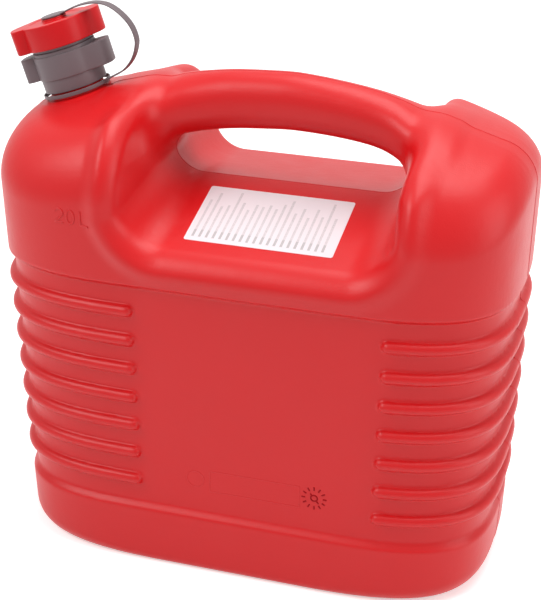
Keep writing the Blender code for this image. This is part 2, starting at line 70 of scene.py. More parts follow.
def make_camera():
    """The camera, at its place to the right of, above and back from its target."""
    tip = Matrix.Rotation(radians(90.0 - CAMERA_ELEVATION), 4, "X")
    facing = Matrix.Rotation(radians(CAMERA_AZIMUTH), 4, "Z") @ tip
    data = bpy.data.cameras.new("camera")
    data.lens = CAMERA_LENS
    data.sensor_width = CAMERA_SENSOR
    camera = placed("camera", data)
    roll = Matrix.Rotation(radians(CAMERA_ROLL), 4, "Z")
    place = Matrix.Translation(CAMERA_TARGET + facing @ CAMERA_PLACE)
    camera.matrix_world = place @ facing @ roll
    bpy.context.scene.camera = camera


# Sizes of the body: those of the solids, with its edges, belt and ribs as in the photograph

HALF_LENGTH = 0.2000
HALF_DEPTH = 0.1032
WALL = 0.0030
PLAN_FLAT = 0.0664
PLAN_POWER = 3.24
PLAN_STEPS = 40
BASE_FILLET = 0.0075
BASE_FILLET_ENDS = 0.0220
BASE_FILLET_POWER = 1.5
BASE_TOP = 0.0490
BASE_LEDGE = 0.0052
STEP_HEIGHT = 0.2426
STEP_CHAMFER = 0.0024
STEP_EDGE = 0.0002
BASE_NARROWER = 0.0072
BASE_SHALLOWER = 0.0052
BELT_INSET = 0.0050
BELT_INSET_ENDS = 0.0036
UPPER_FLARE = 0.0016
TOP_ROUND_LEFT = 0.0350
TOP_ROUND_RIGHT = 0.0230
TOP_ROUND_FRONT_EXTRA = 0.0070
TOP_ROUND_BACK_EXTRA = 0.0160
TOP_FALL_LEFT = 0.0240
TOP_FALL_RIGHT_FRONT = 0.0450
TOP_FALL_RIGHT_BACK = 0.0170
TOP_ROUND_STEPS = 14
TOP_RINGS = 14
CROWN = (
    (-0.200, 0.3450), (-0.156, 0.3535), (-0.113, 0.3648), (-0.077, 0.3737), (-0.057, 0.3775),
    (-0.030, 0.3815), (0.000, 0.3833), (0.023, 0.3836), (0.060, 0.3798), (0.087, 0.3752),
    (0.111, 0.3685), (0.137, 0.3614), (0.168, 0.3520), (0.184, 0.3475), (0.200, 0.3435),
)
FOOT_BORDER = 0.0345
FOOT_RECESS = 0.0030
FOOT_BELOW = 0.0080
FILLET_STEPS = 12

RIB_COUNT = 7
RIB_LOW = 0.0750
RIB_HIGH = 0.2215
RIB_HALF_WIDTH = 0.0050
RIB_RISE = 0.0058
RIB_ROOT = 0.0030
RIB_LEFT_TIPS = (0.0726, 0.0742)
RIB_RIGHT_TIPS = (0.1095, 0.1138)
RIB_STEPS = 30
RIB_SIDES = 12
RIB_CAP_STEPS = 6
RIB_LEAST = 0.02

HAND_LEFT = -0.0770
HAND_RIGHT = 0.1130
HAND_FLOOR = 0.2990
HAND_FALL_FRONT = 0.0290
HAND_FALL_BACK = 0.0150
HAND_CORNER = 0.0260
HAND_LEAN_START = 0.3200
HAND_LEAN_LEFT = 0.0160
HAND_LEAN_RIGHT = 0.0300
HAND_LEAN_POWER = 1.6
HAND_LEAN_STEPS = 9
HAND_ROOF = 0.4000
HAND_BEYOND = 0.0300
HAND_STATIONS = 24
HAND_FLARE = 0.0070
HAND_FLARE_POWER = 1.5
HAND_CORNER_STEPS = 16

GRIP = (
    (-0.118, 0.0580, 0.070), (-0.100, 0.0500, 0.060), (-0.085, 0.0400, 0.0525),
    (-0.071, 0.0300, 0.0465), (-0.055, 0.0235, 0.0447), (-0.030, 0.0195, 0.0440),
    (0.020, 0.0185, 0.0425), (0.065, 0.0190, 0.0405), (0.092, 0.0215, 0.0405),
    (0.110, 0.0295, 0.0445), (0.126, 0.0430, 0.0550), (0.142, 0.0570, 0.070),
)
GRIP_SUNK = (
    (-0.118, 0.0036), (-0.096, 0.0030), (-0.080, 0.0018), (-0.062, 0.0000), (0.100, 0.0000),
    (0.128, 0.0028), (0.142, 0.0036),
)
GRIP_POWER_TOP = 2.1
GRIP_POWER_LOW = 2.5
GRIP_SIDES = 64
GRIP_STATIONS = 80

NECK_X = -0.1557
NECK_Z = 0.3587
NECK_TILT = 17.5
LAND_RADIUS = 0.0285
LAND_DROP = 0.0052
NECK_ROOT = 0.0200

# Field grid for the moulded body, and the widths over which its forms melt together

VOXEL = 0.0015
BAND = 18
INNER_STRIDE = 2
GRID_LOW = np.array((-0.214, -0.116, -0.010))
GRID_HIGH = np.array((0.214, 0.116, 0.396))
GRID_SHAPE = tuple(np.ceil((GRID_HIGH - GRID_LOW) / VOXEL).astype(int))
GRID_X, GRID_Y, GRID_Z = [
    low + VOXEL * np.arange(count) for low, count in zip(GRID_LOW, GRID_SHAPE)
]
HAND_BLEND = 0.0130
GRIP_BLEND = 0.0130
RIB_BLEND = 0.0008
LIP_RAISE = 0.0043
LIP_DISTANCE = 0.0120
LIP_SPREAD = 0.0090
LIP_FROM_MIDDLE = (0.040, 0.075)
LIP_LOWER_RIGHT = (-0.02, 0.05)
LIP_HIGHEST_RIGHT = (0.325, 0.352)
LIP_BACK = 0.30
LAND_BLEND = 0.0040
BOSS_INSET = 0.0005
LAND_CUT_TOP = 0.0600
FOOT_BLEND = 0.0020
NECK_HOLE = 0.0200
NECK_HOLE_LOW = -0.0400
NECK_HOLE_HIGH = 0.0120

# Neck, in its own tilted frame, whose zero lies just above the tether's ring
NECK_RADIUS = 0.0218
NECK_BORE = 0.0182
NECK_TOP = 0.0240
NECK_CORE = 0.0208
NECK_CREST = 0.0220
NECK_THREAD_LOW = 0.0030
NECK_THREAD_TURNS = 3.0
NECK_PITCH = 0.0050
NECK_FOOT = -0.0160
NECK_EDGE = 0.0006
NECK_SLOPE = 0.0008

# Pieces stacked on the neck, with the sizes of the solids
GAP = 0.0003
GASKET_THICK = 0.0017
FLANGE_THICK = 0.0027
FLANGE_MARGIN = 0.0002
SPOUT_MARGIN = 0.0010
SPOUT_WALL = 0.0020
SPOUT_STRAIGHT = 0.0400
BELLOWS_COUNT = 14
BELLOWS_PITCH = 0.0080
BELLOWS_DEPTH = 0.0022
BELLOWS_STEPS = 8
NOZZLE_LENGTH = 0.0300
NOZZLE_RADIUS = 0.0120
THREAD_MARGIN = 0.0005
SKIRT_WALL = 0.0020
SKIRT_FOOT = 0.0003
BAND_FOOT = 0.0106
BAND_BELOW_WEB = 0.0004
BAND_EXTRA = 0.0009
WEB_THICK = 0.0026
STUB_WALL = 0.0030
STUB_RADIUS = 0.0240
STUB_RISE = 0.0160
STUB_CORE = 0.0231
STUB_FOOT = 0.0004
STUB_EDGE = 0.0010
STUB_THREAD_LOW = 0.0016
STUB_THREAD_SUNK = 0.0001
BEAD_DROP = 0.0003
STUB_PITCH = 0.0040
STUB_THREAD_TURNS = 2.6
CAP_CLEARANCE = 0.0004
CAP_WALL = 0.0030
CAP_FOOT_GAP = 0.0023
CAP_TOP = 0.0028
LINER_THICK = 0.0014
LINER_OVERLAP = 0.0020
BOSS_RADIUS = 0.0098
BOSS_RISE = 0.0014
DISH_INNER = 0.0115
DISH_OUTER = 0.0205
DISH_DEPTH = 0.0006
DISH_SLOPE = 0.0012
BOSS_FOOT = 0.2
SOCKET_RADIUS = 0.0032
SOCKET_FLOOR = 0.0012
COLLAR_WING_REACH = 0.0101
COLLAR_WING_TURN = 14.0
CAP_WING_REACH = 0.0076
CAP_WING_TURN = 35.0
WING_RAMP = 52.0
WING_DROP = 13.0
WING_CREST = (-0.20, 0.35)
RING_CLEARANCE = 0.0004
RING_WALL = 0.0018
RING_TOP = -0.0006
RING_HEIGHT = 0.0030
RING_RIM = 0.0008
RING_TRAY = 0.0010
EYE_RADIUS = 0.0094
EYE_THICK = 0.0012
STRAP_TURN = -5.0
STRAP_HALF_WIDTH = 0.0034
STRAP_THICK = 0.0012
STRAP_SIDES = 16
STRAP_BENDS = (0.25, 0.5)
STRAP_LINE = (
    (0.0084, 0.0552), (0.0180, 0.0570), (0.0270, 0.0580), (0.0357, 0.0578), (0.0420, 0.0566),
    (0.0490, 0.0537), (0.0550, 0.0485), (0.0607, 0.0404), (0.0637, 0.0324), (0.0640, 0.0240),
    (0.0620, 0.0185), (0.0580, 0.0126), (0.0527, 0.0076), (0.0450, 0.0031), (0.0350, 0.0004),
    (0.0268, -0.0012),
)
STRAP_STEPS = 5

GASKET_LOW = NECK_TOP + GAP
GASKET_HIGH = GASKET_LOW + GASKET_THICK
FLANGE_LOW = GASKET_HIGH + GAP
FLANGE_HIGH = FLANGE_LOW + FLANGE_THICK
WEB_LOW = FLANGE_HIGH + GAP
WEB_HIGH = WEB_LOW + WEB_THICK
BAND_TOP = WEB_LOW - BAND_BELOW_WEB
STUB_TOP = WEB_HIGH + STUB_RISE
LINER_LOW = STUB_TOP + GAP
LINER_HIGH = LINER_LOW + LINER_THICK
CAP_CEILING = LINER_HIGH + GAP
CAP_HIGH = CAP_CEILING + CAP_TOP
CAP_LOW = WEB_HIGH + CAP_FOOT_GAP
BOSS_TOP = CAP_HIGH + BOSS_RISE
EYE_LOW = BOSS_TOP + GAP
EYE_HIGH = EYE_LOW + EYE_THICK
SOCKET_LOW = CAP_CEILING + SOCKET_FLOOR
SKIRT_BORE = NECK_RADIUS + THREAD_MARGIN
SKIRT_RADIUS = SKIRT_BORE + SKIRT_WALL
BAND_RADIUS = SKIRT_RADIUS + BAND_EXTRA
CAP_BORE = STUB_RADIUS + CAP_CLEARANCE
CAP_RADIUS = CAP_BORE + CAP_WALL
SPOUT_RADIUS = NECK_BORE - SPOUT_MARGIN
SPOUT_BORE = SPOUT_RADIUS - SPOUT_WALL
FLANGE_RADIUS = NECK_RADIUS - FLANGE_MARGIN
STUB_BORE = STUB_RADIUS - STUB_WALL
RING_BORE = SKIRT_RADIUS + RING_CLEARANCE
RING_RADIUS = RING_BORE + RING_WALL
ROUND_SIDES = 144
ROUNDED_SHARE = 0.45
AXIS_RADIUS = 0.02 * SOCKET_RADIUS
LINER_BORE = STUB_BORE - LINER_OVERLAP

# Screw threads: shares of the pitch and turns over which they rise and fade
THREAD_NEAR = 0.0002
THREAD_FLANK = 0.32
THREAD_STEEP = 1.5
THREAD_FADE = 0.12
THREAD_SPACING = 0.0005

NECK_LEAN = Matrix.Rotation(radians(-NECK_TILT), 4, "Y")
NECK_FRAME = Matrix.Translation((NECK_X, 0.0, NECK_Z)) @ NECK_LEAN

# Parting seam: a fine raised bead round the can at the middle of its depth
SEAM_RADIUS = 0.0003
SEAM_SPACING = 0.0025
SEAM_LEAST_POINTS = 20
BEAD_ROUNDNESS = 2

# Raised marks on the front wall: strokes in the plane of x and z, laid on the shell
RAY_START = -0.2
STROKE_SPACING = 0.0008
ROUND_STROKE_SIDES = 36
CAPACITY_FOOT = 0.2877
CAPACITY_TALL = 0.0108
CAPACITY_STROKE = 0.0009
CAPACITY_SINK = 0.0002
CAPACITY_STARTS = (-0.1312, -0.1215, -0.1104)
CAPACITY_WIDTHS = (0.0066, 0.0060, 0.0066)
TWO_HEAD = (165.0, -35.0)
DIAL_MIDDLE = (0.0658, 0.0839)
DIAL_INNER = 0.0070
DIAL_OUTER = 0.0098
DIAL_TICKS = 12
DIAL_BOSS = 0.0026
DIAL_POINTER = 0.0056
DIAL_POINTER_TURN = -52.0
DIAL_TAIL = 0.85
DIAL_STROKE = 0.00065
DIAL_SINK = 0.0001
PLATE_RING_MIDDLE = (-0.0292, 0.0830)
PLATE_RING_RADIUS = 0.0070
PLATE_LOW = (-0.0174, 0.0737)
PLATE_HIGH = (0.0544, 0.0922)
PLATE_STROKE = 0.0006
PLATE_SINK = 0.00030

# Sticker on the ramp in front of the hand opening
STICKER_LOW = (-0.0402, -0.0802)
STICKER_HIGH = (0.0722, -0.0162)
STICKER_CORNER = 0.0018
STICKER_CORNER_STEPS = 5
STICKER_LIFT = 0.0003
STICKER_ROOT = 0.0004
STICKER_START = 0.3200
STICKER_COLUMNS = 20
STICKER_MARGIN = 0.0045


def between(low, high, share):
    return low + (high - low) * share


def quarter(steps):
    """Sine and cosine of even steps from nothing to a right angle."""
    angles = [0.5 * pi * step / steps for step in range(steps + 1)]
    return [(sin(angle), cos(angle)) for angle in angles]


def smooth_line(stations, x):
    """Value on a smooth curve through stations of x and value."""
    x = min(max(x, stations[0][0]), stations[-1][0])
    index = 0
    while stations[index + 1][0] < x:
        index += 1
    x0, y0 = stations[index]
    x1, y1 = stations[index + 1]
    before = stations[max(index - 1, 0)]
    after = stations[min(index + 2, len(stations) - 1)]
    slope0 = (y1 - before[1]) / (x1 - before[0])
    slope1 = (after[1] - y0) / (after[0] - x0)
    span = x1 - x0
    t = (x - x0) / span
    return (
        (2 * t**3 - 3 * t**2 + 1) * y0
        + (t**3 - 2 * t**2 + t) * span * slope0
        + (3 * t**2 - 2 * t**3) * y1
        + (t**3 - t**2) * span * slope1
    )


def loft_mesh(rings):
    """Points and triangles of a closed solid through rings of equal point counts.

    The faces are turned round where the rings would leave the solid inside out.
    """
    count = len(rings[0])
    points = [tuple(point) for ring in rings for point in ring]
    faces = []
    for level in range(len(rings) - 1):
        for side in range(count):
            here = level * count + side
            after = level * count + (side + 1) % count
            faces += [(here, after, after + count), (here, after + count, here + count)]
    for ring, start in ((rings[0], 0), (rings[-1], len(points) - count)):
        centre = len(points)
        points.append(tuple(np.mean(np.array(ring), axis=0)))
        for side in range(count):
            pair = (start + side, start + (side + 1) % count)
            faces.append((*pair, centre) if start else (*pair[::-1], centre))
    points = np.array(points, dtype=np.float32)
    faces = np.array(faces, dtype=np.uint32)
    a, b, c = [points[faces[:, corner]] for corner in range(3)]
    volume = np.einsum("ij,ij->i", a, np.cross(b, c)).sum()
    return points, faces if volume > 0.0 else faces[:, ::-1].copy()


def field_of(points, faces):
    """Distance field of a closed mesh on the grid, negative inside."""
    transform = openvdb.createLinearTransform(voxelSize=VOXEL)
    local = points - GRID_LOW.astype(np.float32)
    level = openvdb.FloatGrid.createLevelSetFromPolygons(
        local, triangles=faces, transform=transform, halfWidth=float(BAND)
    )
    values = np.zeros(GRID_SHAPE, dtype=np.float32)
    level.copyToArray(values)
    return values


def melt_union(a, b, width):
    share = np.clip(0.5 + 0.5 * (b - a) / width, 0.0, 1.0)
    return b * (1.0 - share) + a * share - width * share * (1.0 - share)


def melt_cut(a, cutter, width):
    return -melt_union(-a, cutter, width)


# Forms of the body


def plan_outline(half_length, half_depth):
    bend = 2.0 / PLAN_POWER
    front = []
    for sine, cosine in quarter(PLAN_STEPS):
        x = PLAN_FLAT + (half_length - PLAN_FLAT) * sine**bend
        front.append((x, -half_depth * cosine**bend))
    right = front + [(x, -y) for x, y in reversed(front[:-1])]
    return right + [(-x, -y) for x, y in right]


def side_size(height):
    share = (height - BASE_TOP) / (STEP_HEIGHT - BASE_TOP)
    half_length = between(HALF_LENGTH - BASE_NARROWER, HALF_LENGTH, share)
    half_depth = between(HALF_DEPTH - BASE_SHALLOWER, HALF_DEPTH, share)
    return half_length, half_depth


def top_height(x, y):
    """Height of the gently domed top, before its rim is rounded."""
    share = (x + HALF_LENGTH) / (2.0 * HALF_LENGTH)
    right = TOP_FALL_RIGHT_FRONT if y < 0.0 else TOP_FALL_RIGHT_BACK
    fall = between(TOP_FALL_LEFT, right, share)
    return smooth_line(CROWN, x) - fall * (y / HALF_DEPTH) ** 2


def moved_in(outline, amounts):
    """The outline with each point moved in along its normal."""
    moved = []
    for index, (x, y) in enumerate(outline):
        x0, y0 = outline[index - 1]
        x1, y1 = outline[(index + 1) % len(outline)]
        share = amounts[index] / hypot(x1 - x0, y1 - y0)
        moved.append((x - share * (y1 - y0), y + share * (x1 - x0)))
    return moved


def squared(angle, bend_across, bend_up):
    """A place on a round of size one that is squarer where its bends are smaller."""
    cosine = cos(angle)
    sine = sin(angle)
    across = copysign(abs(cosine) ** bend_across, cosine)
    return across, copysign(abs(sine) ** bend_up, sine)


def body_rings():
    rings = []

    def ring(height, margin, end_margin):
        half_length, half_depth = side_size(height)
        outline = plan_outline(half_length - end_margin, half_depth - margin)
        rings.append([(x, y, height) for x, y in outline])

    half_length, half_depth = side_size(BASE_FILLET_ENDS)
    outline = plan_outline(half_length, half_depth)
    fillets = []
    for x, _ in outline:
        share = max(abs(x) - PLAN_FLAT, 0.0) / (half_length - PLAN_FLAT)
        fillets.append(between(BASE_FILLET, BASE_FILLET_ENDS, share**BASE_FILLET_POWER))
    for sine, cosine in quarter(FILLET_STEPS):
        inner = moved_in(outline, [radius * (1.0 - sine) for radius in fillets])
        rings.append([(x, y, radius * (1.0 - cosine)) for (x, y), radius in zip(inner, fillets)])
    ring(BASE_TOP, 0.0, 0.0)
    ring(BASE_TOP + BASE_LEDGE, BELT_INSET, BELT_INSET_ENDS)
    ring(STEP_HEIGHT, BELT_INSET, BELT_INSET_ENDS)
    ring(STEP_HEIGHT + STEP_EDGE, STEP_CHAMFER, STEP_CHAMFER)
    ring(STEP_HEIGHT + STEP_CHAMFER, 0.0, 0.0)
    half_length = HALF_LENGTH + UPPER_FLARE
    half_depth = HALF_DEPTH + UPPER_FLARE
    outline = plan_outline(half_length, half_depth)
    rounds = []
    for x, y in outline:
        share = (x + half_length) / (2.0 * half_length)
        extra = TOP_ROUND_FRONT_EXTRA if y < 0.0 else TOP_ROUND_BACK_EXTRA
        extra *= share * (y / half_depth) ** 2
        rounds.append(between(TOP_ROUND_LEFT, TOP_ROUND_RIGHT, share) + extra)
    for sine, cosine in quarter(TOP_ROUND_STEPS):
        inner = moved_in(outline, [radius * (1.0 - cosine) for radius in rounds])
        rings.append(
            [(x, y, top_height(x, y) - radius * (1.0 - sine)) for (x, y), radius in zip(inner, rounds)]
        )
    for step in range(1, TOP_RINGS):
        scale = 1.0 - step / TOP_RINGS
        rings.append([(x * scale, y * scale, top_height(x * scale, y * scale)) for x, y in inner])
    return rings


def hand_rings():
    face = HALF_DEPTH + UPPER_FLARE
    reach = face + HAND_BEYOND
    rings = []
    for station in range(HAND_STATIONS + 1):
        y = between(-reach, reach, station / HAND_STATIONS)
        along = abs(y) / face
        flare = HAND_FLARE * along**HAND_FLARE_POWER if y < 0.0 else 0.0
        fall = HAND_FALL_FRONT if y < 0.0 else HAND_FALL_BACK
        low = []
        for sine, cosine in quarter(HAND_CORNER_STEPS):
            x = HAND_LEFT + HAND_CORNER * (1.0 - cosine) - flare * (1.0 - sine)
            low.append((x, y, HAND_FLOOR - fall * along + HAND_CORNER * (1.0 - sine)))
        other = [(HAND_LEFT + HAND_RIGHT - x, y, z) for x, y, z in reversed(low)]
        lean = []
        other_lean = []
        for step in range(HAND_LEAN_STEPS):
            share = 1.0 - step / HAND_LEAN_STEPS
            height = between(HAND_LEAN_START, HAND_ROOF, share)
            bend = share**HAND_LEAN_POWER
            lean.append((HAND_LEFT - flare - HAND_LEAN_LEFT * bend, y, height))
            other_lean.append((HAND_RIGHT + flare + HAND_LEAN_RIGHT * bend, y, height))
        rings.append(lean + low + other + other_lean[::-1])
    return rings


def grip_rings():
    widths = [(x, width) for x, width, _ in GRIP]
    depths = [(x, tall) for x, _, tall in GRIP]
    rings = []
    for station in range(GRIP_STATIONS + 1):
        x = between(GRIP[0][0], GRIP[-1][0], station / GRIP_STATIONS)
        half_width = smooth_line(widths, x)
        tall = smooth_line(depths, x)
        middle = smooth_line(CROWN, x) - 0.5 * tall - smooth_line(GRIP_SUNK, x)
        ring = []
        for side in range(GRIP_SIDES):
            angle = FULL_TURN * side / GRIP_SIDES
            power = GRIP_POWER_TOP if sin(angle) > 0.0 else GRIP_POWER_LOW
            across, up = squared(angle, 2.0 / power, 2.0 / power)
            ring.append((x, half_width * across, middle + 0.5 * tall * up))
        rings.append(ring)
    return rings


def rib_rings(height, end, tip):
    half_length, half_depth = side_size(height)
    half_depth -= BELT_INSET
    round_length = half_length - BELT_INSET_ENDS - PLAN_FLAT
    bend = 2.0 / PLAN_POWER
    share = (tip + RIB_HALF_WIDTH - PLAN_FLAT) / round_length
    first = asin(max(share, RIB_LEAST) ** (1.0 / bend))
    path = []
    for step in range(RIB_STEPS + 1):
        angle = between(first, 0.5 * pi, step / RIB_STEPS)
        x = PLAN_FLAT + round_length * sin(angle) ** bend
        path.append(Vector((x, -half_depth * cos(angle) ** bend, 0.0)))
    path += [Vector((point.x, -point.y, 0.0)) for point in reversed(path[:-1])]
    ends = [path[0], *path, path[-1]]
    tangents = [(after - before).normalized() for before, after in zip(ends, ends[2:])]
    sections = [(point, tangent, 1.0) for point, tangent in zip(path, tangents)]
    for sine, cosine in quarter(RIB_CAP_STEPS)[1:]:
        reach = RIB_HALF_WIDTH * sine
        size = max(cosine, RIB_LEAST)
        sections.insert(0, (path[0] - tangents[0] * reach, tangents[0], size))
        sections.append((path[-1] + tangents[-1] * reach, tangents[-1], size))
    rings = []
    for point, tangent, size in sections:
        outward = Vector((tangent.y, -tangent.x, 0.0))
        half = RIB_HALF_WIDTH * size
        ring = []
        for step in range(RIB_SIDES + 1):
            angle = pi * step / RIB_SIDES
            place = point + outward * (RIB_RISE * size * sin(angle))
            ring.append((end * place.x, place.y, height + half * cos(angle)))
        place = point - outward * RIB_ROOT
        ring += [(end * place.x, place.y, height + side * half) for side in (-1.0, 1.0)]
        rings.append(ring if end > 0.0 else ring[::-1])
    return rings


def joined(meshes):
    """Several meshes as one."""
    all_points = [points for points, _ in meshes]
    starts = np.cumsum([0] + [len(points) for points in all_points])
    all_faces = [faces + np.uint32(start) for (_, faces), start in zip(meshes, starts)]
    return np.concatenate(all_points), np.concatenate(all_faces)


def foot_rings():
    rings = []
    half_length, half_depth = side_size(0.0)
    for height, margin in ((-FOOT_BELOW, 0.0), (0.0, 0.0), (FOOT_RECESS, FOOT_RECESS)):
        border = BASE_FILLET + FOOT_BORDER + margin
        outline = plan_outline(half_length - border, half_depth - border)
        rings.append([(x, y, height) for x, y in outline])
    return rings


def neck_cylinder_field(radius, low, high):
    """Distance to a cylinder about the neck's axis, negative inside."""
    away = (GRID_X - NECK_X)[:, None, None]
    above = (GRID_Z - NECK_Z)[None, None, :]
    tilt = radians(NECK_TILT)
    along = above * cos(tilt) - away * sin(tilt)
    across = away * cos(tilt) + above * sin(tilt)
    side = np.hypot(across, GRID_Y[None, :, None]) - radius
    end = np.maximum(low - along, along - high)
    outside = np.hypot(np.maximum(side, 0.0), np.maximum(end, 0.0))
    return (outside + np.minimum(np.maximum(side, end), 0.0)).astype(np.float32)


def stepped(values, low, high):
    """A smooth step from zero at the low value to one at the high value."""
    share = np.clip((values - low) / (high - low), 0.0, 1.0)
    return share * share * (3.0 - 2.0 * share)


def lip_share():
    """How much of the hand opening's raised lip there is at each point of the grid."""
    side = np.where(GRID_Y < 0.0, 1.0, LIP_BACK)
    away = stepped(np.abs(GRID_Y), *LIP_FROM_MIDDLE) * side
    right = stepped(GRID_X, *LIP_LOWER_RIGHT)[:, None]
    high = right * stepped(GRID_Z, *LIP_HIGHEST_RIGHT)[None, :]
    return (away[None, :, None] * (1.0 - high)[:, None, :]).astype(np.float32)


def solid_field(rings):
    return field_of(*loft_mesh(rings))


def body_field():
    ribs = []
    for index in range(RIB_COUNT):
        share = index / (RIB_COUNT - 1)
        height = between(RIB_LOW, RIB_HIGH, share)
        for end, tips in ((-1.0, RIB_LEFT_TIPS), (1.0, RIB_RIGHT_TIPS)):
            ribs.append(loft_mesh(rib_rings(height, end, between(*tips, share))))
    hand = solid_field(hand_rings())
    beyond = exp(-(((BAND * VOXEL - LIP_DISTANCE) / LIP_SPREAD) ** 2))
    swell = np.exp(-(((hand - LIP_DISTANCE) / LIP_SPREAD) ** 2))
    lip = lip_share() * LIP_RAISE * np.maximum(swell - beyond, 0.0)
    shape = melt_cut(solid_field(body_rings()) - lip, hand, HAND_BLEND)
    shape = melt_union(shape, solid_field(grip_rings()), GRIP_BLEND)
    shape = melt_union(shape, field_of(*joined(ribs)), RIB_BLEND)
    boss = neck_cylinder_field(LAND_RADIUS - BOSS_INSET, -NECK_ROOT, 0.0)
    spot = neck_cylinder_field(LAND_RADIUS, -LAND_DROP, LAND_CUT_TOP)
    shape = melt_cut(melt_union(shape, boss, LAND_BLEND), spot, LAND_BLEND)
    return melt_cut(shape, solid_field(foot_rings()), FOOT_BLEND)


def surface_of(values, voxel, level):
    """Surface of a field at one level, as a mesh that faces away from the inside."""
    grid = openvdb.FloatGrid(BAND * VOXEL)
    grid.transform = openvdb.createLinearTransform(voxelSize=voxel)
    grid.copyFromArray(np.ascontiguousarray(values))
    points, quads = grid.convertToQuads(isovalue=level)
    mesh = bpy.data.meshes.new("surface")
    mesh.from_pydata((points + GRID_LOW).tolist(), [], quads.tolist())
    mesh.validate()
    work = bmesh.new()
    work.from_mesh(mesh)
    bpy.data.meshes.remove(mesh)
    bmesh.ops.recalc_face_normals(work, faces=work.faces)
    return work


def object_of(name, work, smooth_angle=None):
    mesh = bpy.data.meshes.new(name)
    work.to_mesh(mesh)
    work.free()
    mesh.shade_smooth()
    if smooth_angle is not None:
        mesh.set_sharp_from_angle(angle=radians(smooth_angle))
    return placed(name, mesh)


def cut_neck_hole(work):
    """Open a surface where the neck goes through it, with the hole's edge on one circle."""
    back = NECK_FRAME.inverted()
    doomed = []
    for face in work.faces:
        place = back @ face.calc_center_median()
        inside = hypot(place.x, place.y) < NECK_HOLE
        if inside and NECK_HOLE_LOW < place.z < NECK_HOLE_HIGH:
            doomed.append(face)
    bmesh.ops.delete(work, geom=doomed, context="FACES")
    edges = [edge for edge in work.edges if edge.is_boundary]
    for vert in {vert for edge in edges for vert in edge.verts}:
        place = back @ vert.co
        stretch = NECK_HOLE / hypot(place.x, place.y)
        vert.co = NECK_FRAME @ Vector((place.x * stretch, place.y * stretch, place.z))


def make_shell(values):
    """The moulded shell: outer face, inner face and the rim of the neck's hole."""
    outer = surface_of(values, VOXEL, 0.0)
    cut_neck_hole(outer)
    stride = INNER_STRIDE
    inner = surface_of(values[::stride, ::stride, ::stride], VOXEL * stride, -WALL)
    cut_neck_hole(inner)
    bmesh.ops.reverse_faces(inner, faces=inner.faces)
    mesh = bpy.data.meshes.new("inner")
    inner.to_mesh(mesh)
    inner.free()
    section = outer.copy()
    outer.from_mesh(mesh)
    bpy.data.meshes.remove(mesh)
    edges = [edge for edge in outer.edges if edge.is_boundary]
    bmesh.ops.bridge_loops(outer, edges=edges)
    return object_of("can_shell", outer), section


def chains(edges):
    """Lists of points along connected edges, each with True if it closes on itself."""
    beside = {}
    for edge in edges:
        a, b = edge.verts
        beside.setdefault(a, []).append(b)
        beside.setdefault(b, []).append(a)
    seen = set()
    found = []
    for start in sorted(beside, key=lambda vert: (len(beside[vert]) != 1, vert.index)):
        if start in seen:
            continue
        line = []
        ahead = [start]
        while ahead:
            line.append(ahead[0])
            seen.add(ahead[0])
            ahead = [vert for vert in beside[line[-1]] if vert not in seen]
        closed = len(line) > 2 and line[0] in beside[line[-1]]
        found.append(([vert.co.copy() for vert in line], closed))
    return found


def evenly(points, closed, spacing):
    """The line again with its points a steady distance apart."""
    line = points + [points[0]] if closed else points
    places = np.array([tuple(point) for point in line])
    steps = np.linalg.norm(np.diff(places, axis=0), axis=1)
    along = np.concatenate(([0.0], np.cumsum(steps)))
    count = max(int(along[-1] / spacing), 4)
    marks = np.linspace(0.0, along[-1], count, endpoint=not closed)
    return np.stack([np.interp(marks, along, places[:, axis]) for axis in range(3)], axis=1)


def beads(name, lines, radius):
    """Round beads along lines of places, each with True if it closes on itself."""
    data = bpy.data.curves.new("bead_lines", "CURVE")
    data.dimensions = "3D"
    data.bevel_depth = radius
    data.bevel_resolution = BEAD_ROUNDNESS
    data.use_fill_caps = True
    for line, closed in lines:
        spline = data.splines.new("POLY")
        spline.points.add(len(line) - 1)
        for spot, place in zip(spline.points, line):
            spot.co = (*place, 1.0)
        spline.use_cyclic_u = closed
    curve = placed("bead_curve", data)
    bpy.context.view_layer.update()
    graph = bpy.context.evaluated_depsgraph_get()
    mesh = bpy.data.meshes.new_from_object(curve.evaluated_get(graph))
    bpy.data.objects.remove(curve)
    mesh.shade_smooth()
    return placed(name, mesh)


def make_seam(section):
    """The parting seam, where the middle plane meets the outer face."""
    cut = bmesh.ops.bisect_plane(
        section,
        geom=section.verts[:] + section.edges[:] + section.faces[:],
        plane_co=(0.0, 0.0, 0.0),
        plane_no=(0.0, 1.0, 0.0),
    )
    section.verts.index_update()
    edges = [part for part in cut["geom_cut"] if isinstance(part, bmesh.types.BMEdge)]
    lines = []
    for points, closed in chains(edges):
        if len(points) < SEAM_LEAST_POINTS:
            continue
        line = evenly(points, closed, SEAM_SPACING)
        line[:, 1] = 0.0
        line[:, 2] = np.maximum(line[:, 2], SEAM_RADIUS)
        lines.append((line, closed))
    section.free()
    return beads("parting_seam", lines, SEAM_RADIUS)


# Marks and sticker


def strokes(name, shell, lines, radius, sink):
    """Beads along flat lines of x and z, laid on the front and sunk in by a little."""
    laid = []
    for line, closed in lines:
        places = []
        for x, _, z in evenly([(x, 0.0, z) for x, z in line], closed, STROKE_SPACING):
            start = Vector((x, RAY_START, z))
            _, place, normal, _ = shell.ray_cast(start, Vector((0.0, 1.0, 0.0)))
            places.append(place - normal * sink)
        laid.append((places, closed))
    return beads(name, laid, radius)


def arc_line(middle, across, up, start, end, steps=ROUND_STROKE_SIDES):
    line = []
    for step in range(steps + 1):
        angle = radians(between(start, end, step / steps))
        line.append((middle[0] + across * cos(angle), middle[1] + up * sin(angle)))
    return line


